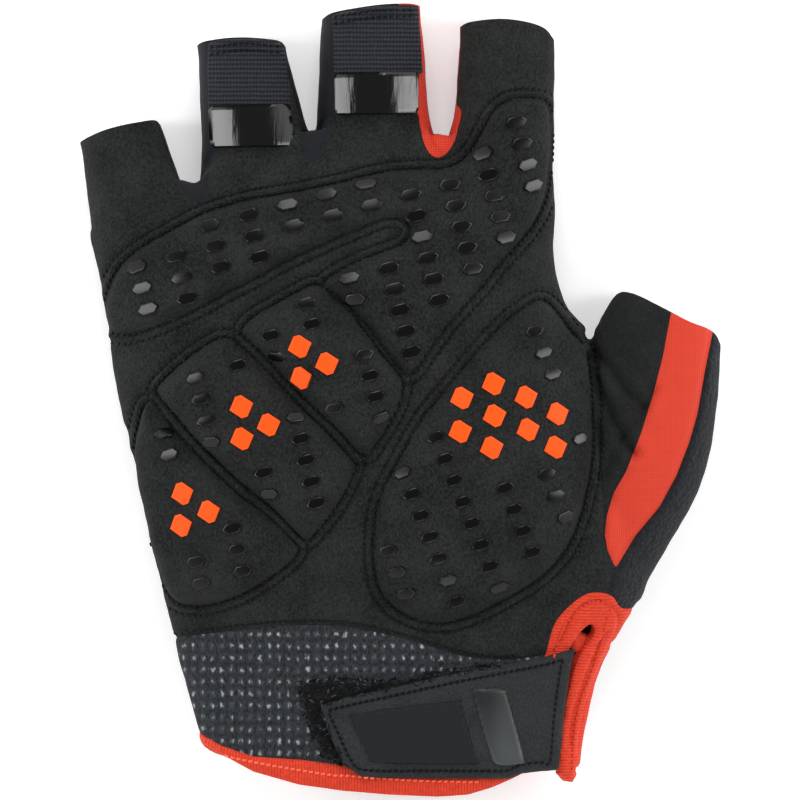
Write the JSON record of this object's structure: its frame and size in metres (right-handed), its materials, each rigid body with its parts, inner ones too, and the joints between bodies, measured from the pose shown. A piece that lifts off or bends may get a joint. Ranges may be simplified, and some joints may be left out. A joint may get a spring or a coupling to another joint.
{
  "type": "fingerless cycling mitt",
  "caption": "Right-hand fingerless cycling mitt lying palm up, with gel palm pads, pull tabs on two fingers, a knit cuff and a red-bound wrist slit closed by a strap.",
  "frame": {"origin": "centre of the bounding box in plan, at the floor that the back of the mitt lies on", "axes": "+Y from the wrist hem to the fingertips, +X towards the thumb, +Z out of the palm"},
  "size_m": [0.1348, 0.167, 0.0324],
  "materials": {
    "palm_leather": "matt suede-like",
    "back_stretch": "matt knitted",
    "fourchette_stretch": "matt knitted",
    "gusset_red": "matt knitted",
    "thumb_leather": "matt suede-like",
    "stripe_red": "matt",
    "terry": "looped pile",
    "heather_knit": "ribbed knit, flecked",
    "tape_red": "ribbed tape",
    "loop_pile": "fuzzy loops",
    "strap_leather": "satin",
    "pad_leather": "matt suede-like",
    "webbing": "ribbed",
    "grip_gloss": "glossy"
  },
  "bodies": {
    "root": {"palm_panel": "palm_leather", "back_panel": "back_stretch", "back_fingers": "back_stretch", "fourchette_little_ring": "fourchette_stretch", "fourchette_ring_middle": "fourchette_stretch", "fourchette_middle_index": "gusset_red", "thumb_panel": "thumb_leather", "thumb_stripe": "stripe_red", "thumb_terry": "terry", "cuff_knit": "heather_knit", "hem_binding": "tape_red", "slit_binding": "tape_red", "loop_patch": "loop_pile", "closure_strap": "strap_leather", "pad_knuckle": "pad_leather", "cushion_outer": "pad_leather", "cushion_middle": "pad_leather", "cushion_inner": "pad_leather", "pad_thumb": "pad_leather", "webbing_ring": "webbing", "grip_ring": "grip_gloss", "webbing_middle": "webbing", "grip_middle": "grip_gloss"}
  },
  "joints": []
}
